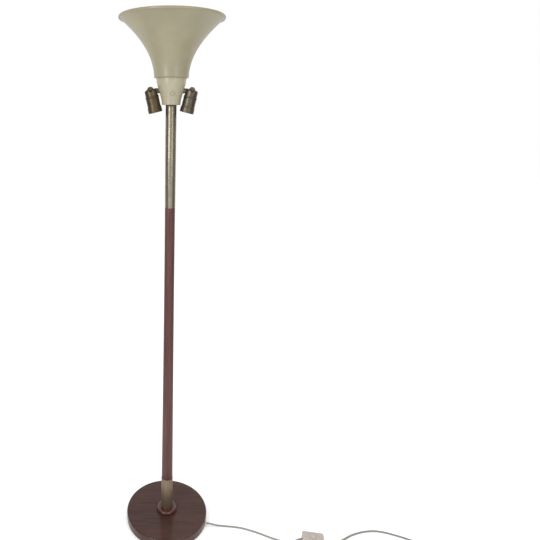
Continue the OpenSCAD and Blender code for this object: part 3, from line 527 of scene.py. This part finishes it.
def smooth_route(points, steps=5):
    """Points of a smooth curve through a route."""
    route = [Vector(p) for p in points]
    out = []
    for i in range(len(route) - 1):
        before = route[max(i - 1, 0)]
        a, b = route[i], route[i + 1]
        after = route[min(i + 2, len(route) - 1)]
        for k in range(steps):
            t = k / steps
            out.append(0.5 * (2 * a + (b - before) * t
                              + (2 * before - 5 * a + 4 * b - after) * t * t
                              + (3 * a - before - 3 * b + after) * t ** 3))
    out.append(route[-1])
    return out


def flex_section(width):
    """Section of the twin flex: two round cores side by side, as (across, up) points."""
    r = width / 4
    lobe = [(math.cos(math.radians(a)), math.sin(math.radians(a))) for a in range(-125, 126, 25)]
    right = [(r + r * c, r * s) for c, s in lobe]
    left = [(-r - r * c, -r * s) for c, s in lobe]
    return right + left


def flex_tube(name, points, width, replaced):
    """A flat flex swept along points, with its own UV map: x across the flex, y along it."""
    section = flex_section(width)
    bm = bmesh.new()
    layer = bm.loops.layers.uv.new("along")
    rings, lengths, run = [], [], 0.0
    for i, p in enumerate(points):
        if i:
            run += (p - points[i - 1]).length
        t = (points[min(i + 1, len(points) - 1)] - points[max(i - 1, 0)]).normalized()
        side = Vector((0, 0, 1)).cross(t).normalized()
        up = t.cross(side)
        rings.append([bm.verts.new(p + side * a + up * b) for a, b in section])
        lengths.append(run / width)
    count = len(section)
    across = [0.5 + a / width for a, b in section]
    for i in range(len(rings) - 1):
        for k in range(count):
            j = (k + 1) % count
            face = bm.faces.new((rings[i][k], rings[i][j], rings[i + 1][j], rings[i + 1][k]))
            uvs = ((across[k], lengths[i]), (across[j], lengths[i]),
                   (across[j], lengths[i + 1]), (across[k], lengths[i + 1]))
            for loop, uv in zip(face.loops, uvs):
                loop[layer].uv = uv
    bm.faces.new(list(reversed(rings[0])))
    bm.faces.new(rings[-1])
    return piece(name, bm, "flex_sheath", STAND, replaced), run


def coil_points(radius, start, end):
    """Turns of the coil from the route's end to the tail's start, wound clockwise."""
    half_pitch, layer_height, lift = 3.4 * MM, 3.35 * MM, 1.7 * MM
    # Each turn's lane: inside (-1) or outside (1) the coil's middle radius, and its layer
    lanes = [(1, 0), (-1, 0), (-1, 1), (1, 1), (-1, 2), (1, 2)]
    point_step = 10
    low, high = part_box("cord_coil")
    centre = (low + high) / 2
    first = math.degrees(math.atan2(start[1] - centre.y, start[0] - centre.x))
    last = math.degrees(math.atan2(end[1] - centre.y, end[0] - centre.x))
    sweep = (first - last) % 360 + 360 * len(lanes)
    per_lane = sweep / len(lanes)
    total = int(sweep / point_step)
    points = []
    for i in range(1, total + 1):
        turn = sweep * i / total
        lane = min(int(turn / per_lane), len(lanes) - 1)
        # The flex crosses to the next lane in the last ninth of its turn
        share = max(0.0, (turn - lane * per_lane) / per_lane * 9 - 8)
        share = share * share * (3 - 2 * share)
        a = lanes[lane]
        b = lanes[min(lane + 1, len(lanes) - 1)]
        column = a[0] + (b[0] - a[0]) * share
        layer = a[1] + (b[1] - a[1]) * share
        r = radius + half_pitch * column
        angle = math.radians(first - turn)
        points.append(Vector((centre.x + r * math.cos(angle), centre.y + r * math.sin(angle),
                              lift + layer_height * layer)))
    return points


# ---- Operators ----


class LAMP_OT_stage(bpy.types.Operator):
    """Add the camera, the pale floor, the dark panels and the studio lights"""

    bl_idname = "lamp.stage"
    bl_label = "Stage"

    def execute(self, context):
        self.camera(context)
        self.floor(context)
        for name, place, width in FLAGS:
            self.flag(context, name, place, width)
        self.lights(context)
        return {"FINISHED"}

    def camera(self, context):
        data = bpy.data.cameras.new("camera")
        data.sensor_width = CAMERA_SENSOR
        data.lens = CAMERA_LENS
        data.shift_x, data.shift_y = CAMERA_SHIFT
        data.clip_end = 100
        camera = bpy.data.objects.new("camera", data)
        context.scene.collection.objects.link(camera)
        down, turn = math.radians(CAMERA_DOWN), math.radians(CAMERA_TURN)
        roll = math.radians(CAMERA_ROLL)
        forward = Vector((math.sin(turn) * math.cos(down), math.cos(turn) * math.cos(down),
                          -math.sin(down)))
        right = Vector((math.cos(turn), -math.sin(turn), 0))
        up = right.cross(forward)
        right, up = (right * math.cos(roll) + up * math.sin(roll),
                     up * math.cos(roll) - right * math.sin(roll))
        camera.matrix_world = Matrix((
            (right.x, up.x, -forward.x, CAMERA_PLACE[0]),
            (right.y, up.y, -forward.y, CAMERA_PLACE[1]),
            (right.z, up.z, -forward.z, CAMERA_PLACE[2]),
            (0, 0, 0, 1)))
        context.scene.camera = camera
        context.scene.view_settings.view_transform = "Standard"

    def floor(self, context):
        bm = bmesh.new()
        bmesh.ops.create_grid(bm, x_segments=4, y_segments=4, size=FLOOR_HALF_SIDE)
        mesh = bpy.data.meshes.new("floor")
        bm.to_mesh(mesh)
        bm.free()
        floor = bpy.data.objects.new("floor", mesh)
        context.scene.collection.objects.link(floor)
        pale = bpy.data.materials.new("floor_pale")
        pale.use_nodes = True
        shader = pale.node_tree.nodes["Principled BSDF"]
        shader.inputs["Base Color"].default_value = (0.86, 0.86, 0.86, 1)
        shader.inputs["Roughness"].default_value = 0.9
        shader.inputs["Emission Color"].default_value = (1, 1, 1, 1)
        shader.inputs["Emission Strength"].default_value = 0.16
        mesh.materials.append(pale)
        floor.location.z = -FLOOR_DROP

    def flag(self, context, name, place, width):
        """A dark upright panel beside the lamp, which shows only in its polished metal."""
        bm = bmesh.new()
        bmesh.ops.create_grid(bm, x_segments=1, y_segments=1, size=0.5)
        bmesh.ops.scale(bm, vec=(FLAG_HEIGHT, width, 1), verts=bm.verts)
        bmesh.ops.rotate(bm, cent=(0, 0, 0), matrix=Matrix.Rotation(math.pi / 2, 3, "Y"),
                         verts=bm.verts)
        mesh = bpy.data.meshes.new(name)
        bm.to_mesh(mesh)
        bm.free()
        panel = bpy.data.objects.new(name, mesh)
        context.scene.collection.objects.link(panel)
        panel.location = place
        dark = bpy.data.materials.new(name)
        dark.use_nodes = True
        shader = dark.node_tree.nodes["Principled BSDF"]
        shader.inputs["Base Color"].default_value = (0.27, 0.26, 0.245, 1)
        mesh.materials.append(dark)
        panel.visible_camera = False
        panel.visible_diffuse = False
        panel.visible_shadow = False

    def lights(self, context):
        """The white world and the soft lights."""
        world = bpy.data.worlds.new("studio")
        world.use_nodes = True
        background = world.node_tree.nodes["Background"]
        background.inputs["Color"].default_value = (1, 1, 1, 1)
        background.inputs["Strength"].default_value = 1.0
        context.scene.world = world
        for name, place, size, power in LIGHTS:
            data = bpy.data.lights.new(name, "AREA")
            data.shape = "RECTANGLE"
            data.size, data.size_y = size
            data.energy = power
            light = bpy.data.objects.new(name, data)
            light.location = place
            aim = Vector(LIGHTS_AIM) - Vector(place)
            light.rotation_euler = aim.to_track_quat("-Z", "Y").to_euler()
            context.scene.collection.objects.link(light)


class LAMP_OT_flex(bpy.types.Operator):
    """Add the flat twin flex on both sides of the foot switch, its coil and its tie"""

    bl_idname = "lamp.flex"
    bl_label = "Flex"

    def execute(self, context):
        sizes = context.scene.lamp_sizes
        width = sizes.flex_width

        points = smooth_route(TO_SWITCH)
        first, run = flex_tube("flex_to_switch", points, width, ["cord_to_switch"])

        turns = coil_points(sizes.coil_radius, TO_COIL[-1], COIL_EXIT)
        points = smooth_route(TO_COIL) + turns + smooth_route([turns[-1]] + TAIL, 3)[1:]
        second, run = flex_tube("flex_to_plug", points, width,
                                ["cord_to_coil", "cord_coil", "cord_tail"])
        tie = self.tie(sizes.coil_radius)
        return {"FINISHED"}

    def tie(self, radius):
        """A flat tie round the coil's turns."""
        width, length, height, band = 15.0 * MM, 4 * MM, 10.6 * MM, 0.5 * MM
        middle = 5.35 * MM
        angle = math.radians(75)
        low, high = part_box("cord_coil")
        centre = (low + high) / 2
        bm = bmesh.new()
        bmesh.ops.create_cube(bm, size=1)
        bmesh.ops.scale(bm, vec=(width, length, height), verts=bm.verts)
        ends = [f for f in bm.faces if abs(f.normal.y) > 0.9]
        bmesh.ops.delete(bm, geom=ends, context="FACES")
        long_edges = [e for e in bm.edges if abs(e.verts[0].co.y - e.verts[1].co.y) > MM]
        bmesh.ops.bevel(bm, geom=long_edges, offset=2 * MM, segments=4, profile=0.5,
                        affect="EDGES", material=-1)
        bmesh.ops.recalc_face_normals(bm, faces=bm.faces)
        bmesh.ops.solidify(bm, geom=bm.faces, thickness=band)
        bmesh.ops.rotate(bm, cent=(0, 0, 0), matrix=Matrix.Rotation(angle, 3, "Z"), verts=bm.verts)
        place = (centre.x + radius * math.cos(angle), centre.y + radius * math.sin(angle), middle)
        bmesh.ops.translate(bm, vec=place, verts=bm.verts)
        return piece("flex_tie", bm, "tie", STAND)


class LAMP_OT_base(bpy.types.Operator):
    """Add the wooden base and the rosette ring"""

    bl_idname = "lamp.base"
    bl_label = "Base"

    def execute(self, context):
        sizes = context.scene.lamp_sizes
        r, low, top = sizes.base_radius, BASE_LOW.z, BASE_HIGH.z
        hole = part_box("tie_rod")[1].x + 0.3 * MM
        gap = 0.5 * MM
        felt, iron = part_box("base_felt")[1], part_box("base_ballast")[1]
        bm = turned([(hole, iron.z), (iron.x + gap, iron.z), (iron.x + gap, felt.z),
                     (felt.x + gap, felt.z), (felt.x + gap, low), (r, low), (r, top), (hole, top)],
                    segments=192)
        round_ring(bm, r, top, sizes.base_edge, 8)
        round_ring(bm, r, low, 1.5 * MM, 4)
        soft_edges(piece("wooden_base", bm, "dark_wood", STAND, ["base_disc"]), 0.3 * MM)

        inner = SLEEVE_HIGH.x + 0.1 * MM
        outer, low, top = ROSETTE_HIGH.x, ROSETTE_LOW.z, ROSETTE_HIGH.z
        bm = turned([(inner, low), (outer, low), (outer, top), (inner, top)])
        round_ring(bm, outer, top, 5.5 * MM, 10)
        round_ring(bm, outer, low, 2.6 * MM, 6)
        round_ring(bm, inner, top, 1.4 * MM, 4)
        soft_edges(piece("rosette", bm, "rosette_wood", STAND, ["base_rosette"]), 0.2 * MM)
        return {"FINISHED"}


class LAMP_OT_pole(bpy.types.Operator):
    """Add the lower sleeve, the tapered wooden pole and the upper tube"""

    bl_idname = "lamp.pole"
    bl_label = "Pole"

    def tube(self, name, node, slot_name, wall):
        low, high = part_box(node)
        bm = turned([(high.x - wall, low.z), (high.x, low.z), (high.x, high.z),
                     (high.x - wall, high.z)], segments=96)
        soft_edges(piece(name, bm, slot_name, STAND, [node]), 0.35 * MM)

    def execute(self, context):
        sizes = context.scene.lamp_sizes
        self.tube("brass_sleeve", "lower_sleeve", "old_brass", sizes.tube_wall)
        self.tube("nickel_tube", "upper_tube", "nickel", sizes.tube_wall)
        low, top = SLEEVE_HIGH.z, TUBE_LOW.z
        gap, taper, steps = 0.1 * MM, 1.6, 24
        tenon_low = SLEEVE_HIGH.x - sizes.tube_wall - gap
        tenon_top = TUBE_HIGH.x - sizes.tube_wall - gap
        wood_low, wood_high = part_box("wood_pole")
        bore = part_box("tie_rod")[1].x + 0.8 * MM
        spread = sizes.wood_low_radius - sizes.wood_top_radius
        side = []
        for i in range(steps + 1):
            share = i / steps
            radius = sizes.wood_top_radius + spread * (1 - share) ** taper
            side.append((radius, low + (top - low) * share))
        outline = [(bore, wood_low.z), (tenon_low, wood_low.z), (tenon_low, low)] + side
        outline += [(tenon_top, top), (tenon_top, wood_high.z), (bore, wood_high.z)]
        bm = turned(outline, segments=96)
        soft_edges(piece("wooden_pole", bm, "pole_wood", STAND, ["wood_pole"]), 0.5 * MM)
        return {"FINISHED"}


class LAMP_OT_neck(bpy.types.Operator):
    """Add the painted neck with its screw boss, and the dome-head screw"""

    bl_idname = "lamp.neck"
    bl_label = "Neck"

    def radius(self, share, sizes):
        """The neck's outer radius at a share of its height."""
        spread = NECK_HIGH.x - sizes.neck_low_radius
        return sizes.neck_low_radius + spread * share * share * (3 - 2 * share)

    def execute(self, context):
        sizes = context.scene.lamp_sizes
        low, height = NECK_LOW.z, NECK_HIGH.z - NECK_LOW.z
        self.cone(sizes, low, height)

        screw_low, screw_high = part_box("neck_screw")
        screw_z = (screw_low.z + screw_high.z) / 2
        boss_height = 2.4 * MM
        boss_face = self.radius((screw_z - low) / height, sizes) + boss_height
        turn = math.radians(6 - 90)
        outward = Vector((math.cos(turn), math.sin(turn), 0))
        aim = Matrix.Rotation(turn, 4, "Z") @ Matrix.Rotation(math.pi / 2, 4, "Y")
        self.boss(Matrix.Translation(outward * boss_face + Vector((0, 0, screw_z))) @ aim)
        seat = boss_face + 0.05 * MM
        self.screw(Matrix.Translation(outward * seat + Vector((0, 0, screw_z))) @ aim)
        return {"FINISHED"}

    def cone(self, sizes, low, height):
        """The painted cone with the lip at its lower edge and its floor."""
        wall, steps = 1.5 * MM, 32
        lip_top, groove_low, groove_top, groove = 1.0 * MM, 1.3 * MM, 2.1 * MM, 0.4 * MM
        floor_low, floor_top, bore = 2 * MM, 4.5 * MM, 5.3 * MM
        # The curve starts above the lip outside, and above the floor inside
        outside_start, inside_start, lowest_share = 0.038, 0.07, 0.05
        r = sizes.neck_low_radius
        outline = [(r, low), (r, low + lip_top), (r - groove, low + groove_low),
                   (r - groove, low + groove_top)]
        for i in range(1, steps + 1):
            share = i / steps
            outline.append((self.radius(max(share, lowest_share), sizes),
                            low + height * max(share, outside_start)))
        for i in range(steps, 0, -1):
            share = i / steps
            outline.append((self.radius(share, sizes) - wall,
                            low + height * max(share, inside_start)))
        outline += [(bore, low + floor_top), (bore, low + floor_low), (r - wall, low + floor_low),
                    (r - wall, low)]
        bm = turned(outline, segments=96)
        soft_edges(piece("painted_neck", bm, "neck_paint", STAND, ["neck_cone"]), 0.25 * MM)

    def boss(self, place):
        """The low round boss that the screw's head sits on."""
        hole, foot_r, face_r, sunk = 2.1 * MM, 5.2 * MM, 4.9 * MM, 3 * MM
        bm = turned([(hole, -sunk), (foot_r, -sunk), (face_r, 0), (hole, 0)], 48)
        round_ring(bm, face_r, 0, 0.7 * MM, 4)
        bmesh.ops.transform(bm, matrix=place, verts=bm.verts)
        soft_edges(piece("neck_boss", bm, "neck_paint", STAND), 0.15 * MM)

    def screw(self, place):
        """The painted screw with its domed head."""
        shank_r, shank, head_r, head = 2 * MM, 14 * MM, 4 * MM, 2.1 * MM
        dome = [(head_r * math.cos(math.radians(a)), head * math.sin(math.radians(a)))
                for a in (20, 40, 60, 75)]
        bm = turned([(0, -shank), (shank_r, -shank), (shank_r, 0), (head_r, 0)] + dome
                    + [(0, head)], 48, closed=False)
        bmesh.ops.transform(bm, matrix=place, verts=bm.verts)
        soft_edges(piece("neck_dome_screw", bm, "neck_paint", STAND, ["neck_screw"]), 0.15 * MM)


class LAMP_OT_shade(bpy.types.Operator):
    """Add the trumpet shade with its rolled rim"""

    bl_idname = "lamp.shade"
    bl_label = "Trumpet shade"

    def execute(self, context):
        sizes = context.scene.lamp_sizes
        low, wall, bead = SHADE_LOW.z, sizes.shade_wall, sizes.rim_bead
        bell_h = SHADE_HIGH.z - low - bead - 1 * MM
        bell_r = SHADE_HIGH.x - bead - sizes.shade_low_radius
        bore, corner, plate, fillet, steps = 5.3 * MM, 1.6 * MM, 1.6 * MM, 3.5 * MM, 32
        outline = [(bore, low)]
        outline += quarter((sizes.shade_low_radius - corner, low + corner), corner, -90)
        inside = []
        for i in range(1, steps + 1):
            share = i / steps
            r, z = sizes.shade_low_radius + bell_r * share ** 2, low + bell_h * share
            slope = 2 * bell_r * share / bell_h
            normal = math.hypot(1, slope)
            outline.append((r, z))
            inside.append((r - wall / normal, z + wall * slope / normal))
        centre = (sizes.shade_low_radius + bell_r, SHADE_HIGH.z - bead)
        outline += [(centre[0] + bead * math.cos(math.radians(a)),
                     centre[1] + bead * math.sin(math.radians(a))) for a in range(-50, 171, 20)]
        # The inside's last two points would lie within the bead
        outline += list(reversed(inside[:-2]))
        outline += [(sizes.shade_low_radius - wall - fillet, low + plate), (bore, low + plate)]
        bm = turned(outline, segments=192)
        soft_edges(piece("trumpet", bm, "shade_paint", STAND, ["trumpet_shade"]), 0.2 * MM, 2, 50)
        return {"FINISHED"}


class LAMP_OT_holders(bpy.types.Operator):
    """Add the outer shells and the threaded screw shells of the three lampholders"""

    bl_idname = "lamp.holders"
    bl_label = "Lampholders"

    # Height of the shell's mouth in the holder's own frame, where the pivot is at zero
    mouth_z = -54.6 * MM

    def shell(self):
        """Outer shell in the holder's own frame, mouth down."""
        waist, mouth, wall, lip = 16.6 * MM, 18.0 * MM, 0.9 * MM, 1.4 * MM
        top, flare_top, flare_h, bottom = -19 * MM, -37.51 * MM, 7 * MM, self.mouth_z
        rolled, rolled_h = mouth - lip - 0.4 * MM, 0.8 * MM
        ledge, ledge_t, ledge_r = -47.6 * MM, 1.2 * MM, 14.8 * MM
        steps = [i / 10 for i in range(11)]
        flare = [(waist + (mouth - waist) * t * t * (3 - 2 * t), flare_top - flare_h * t)
                 for t in steps]
        outline = [(waist, top)] + flare
        outline += [(mouth - lip + lip * math.cos(math.radians(a)),
                     bottom + lip - lip * math.sin(math.radians(a))) for a in range(0, 91, 15)]
        outline += [(rolled, bottom), (rolled, bottom + rolled_h), (mouth - wall, bottom + lip)]
        outline += [(mouth - wall, ledge - ledge_t), (ledge_r, ledge - ledge_t),
                    (ledge_r, ledge), (mouth - wall, ledge)]
        outline += [(r - wall, z) for r, z in reversed(flare)]
        outline += [(waist - wall, top)]
        return turned(outline, 96)

    def screw_shell(self, thread):
        """Brass shell with its thread drawn as rings, in the holder's own frame."""
        low, high = -47.1 * MM, -28.3 * MM
        rings, depth, steps = 4.5, 0.22 * MM, 40
        wall, floor_t, floor_in = 0.08 * MM, 0.05 * MM, 3.4 * MM
        wave = [(thread + depth * (1 - math.cos(2 * math.pi * rings * i / steps)),
                 low + (high - low) * i / steps) for i in range(steps + 1)]
        outline = wave + [(thread - floor_in, high), (thread - floor_in, high + floor_t)]
        outline += [(r + wall, z) for r, z in reversed(wave)]
        return turned(outline, 96)

    def execute(self, context):
        sizes = context.scene.lamp_sizes
        tilt = sizes.rest_tilt
        hinges = {j["name"]: j for j in frame["joints"]}
        right = Vector(hinges["right_holder_tilt"]["pos_m"])
        left = Vector(hinges["left_holder_tilt"]["pos_m"])
        centre_z = SHELL_HIGH.z + self.mouth_z
        holders = {
            "right": (Matrix.Translation(right) @ Matrix.Rotation(tilt, 4, "Y"), "right_holder",
                      "silver_nickel"),
            "left": (Matrix.Translation(left) @ Matrix.Rotation(-tilt, 4, "Y"), "left_holder",
                     "aged_brass"),
            "centre": (Matrix.Translation((0, 0, centre_z)) @ Matrix.Rotation(math.pi, 4, "X"),
                       STAND, "aged_brass"),
        }
        for side, (place, body, metal) in holders.items():
            bm = self.shell()
            bmesh.ops.transform(bm, matrix=place, verts=bm.verts)
            soft_edges(piece(side + "_holder_shell", bm, metal, body, [side + "_shell"]), 0.15 * MM)
            bm = self.screw_shell(sizes.thread_radius)
            bmesh.ops.transform(bm, matrix=place, verts=bm.verts)
            piece(side + "_thread", bm, "bright_brass", body, [side + "_screw_shell"])
        return {"FINISHED"}


class LAMP_OT_frame_finishes(bpy.types.Operator):
    """Give every CAD piece that still shows its finish and smooth shading"""

    bl_idname = "lamp.frame_finishes"
    bl_label = "Finishes of the CAD pieces"

    def execute(self, context):
        plug_edge, spring_keep = 0.8 * MM, 0.83
        slots = {p["node"]: p["material_slot"] for p in frame["record"]["subparts"]}
        for name, obj in NODES.items():
            material = finish(slots[name])
            if not obj.material_slots:
                obj.data.materials.append(material)
            for place in obj.material_slots:
                place.material = material
            if obj.hide_render:
                continue
            mesh = obj.data
            if "custom_normal" in mesh.attributes:
                mesh.attributes.remove(mesh.attributes["custom_normal"])
            for polygon in mesh.polygons:
                polygon.use_smooth = True
            weld = obj.modifiers.new("weld", "WELD")
            weld.merge_threshold = 0.002 * MM
            if name == "plug_body":
                bevel = obj.modifiers.new("edges", "BEVEL")
                bevel.width = plug_edge
                bevel.segments = 3
                bevel.limit_method = "ANGLE"
                bevel.angle_limit = math.radians(25)
            split = obj.modifiers.new("crisp", "EDGE_SPLIT")
            split.split_angle = math.radians(32)
        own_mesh(NODES["switch_spring"])
        return {"FINISHED"}


class LAMP_PT_panel(bpy.types.Panel):
    """Sizes, colours and build steps of the floor lamp"""

    bl_label = "Floor Lamp"
    bl_idname = "LAMP_PT_panel"
    bl_space_type = "VIEW_3D"
    bl_region_type = "UI"
    bl_category = "Floor Lamp"

    def draw(self, context):
        column = self.layout.column()
        for group in (context.scene.lamp_sizes, context.scene.lamp_colours):
            for key in group.__annotations__:
                column.prop(group, key)
        for operator in OPERATORS:
            column.operator(operator.bl_idname)


OPERATORS = (
    LAMP_OT_stage, LAMP_OT_flex, LAMP_OT_base, LAMP_OT_pole, LAMP_OT_neck, LAMP_OT_shade,
    LAMP_OT_holders, LAMP_OT_frame_finishes,
)
CLASSES = (LampSizes, LampColours) + OPERATORS + (LAMP_PT_panel,)


def register():
    for cls in CLASSES:
        bpy.utils.register_class(cls)
    bpy.types.Scene.lamp_sizes = bpy.props.PointerProperty(type=LampSizes)
    bpy.types.Scene.lamp_colours = bpy.props.PointerProperty(type=LampColours)


def unregister():
    del bpy.types.Scene.lamp_colours
    del bpy.types.Scene.lamp_sizes
    for cls in reversed(CLASSES):
        bpy.utils.unregister_class(cls)


def main():
    register()
    for name in ("stage", "flex", "base", "pole", "neck", "shade", "holders", "frame_finishes"):
        getattr(bpy.ops.lamp, name)()


if __name__ == "__main__":
    main()
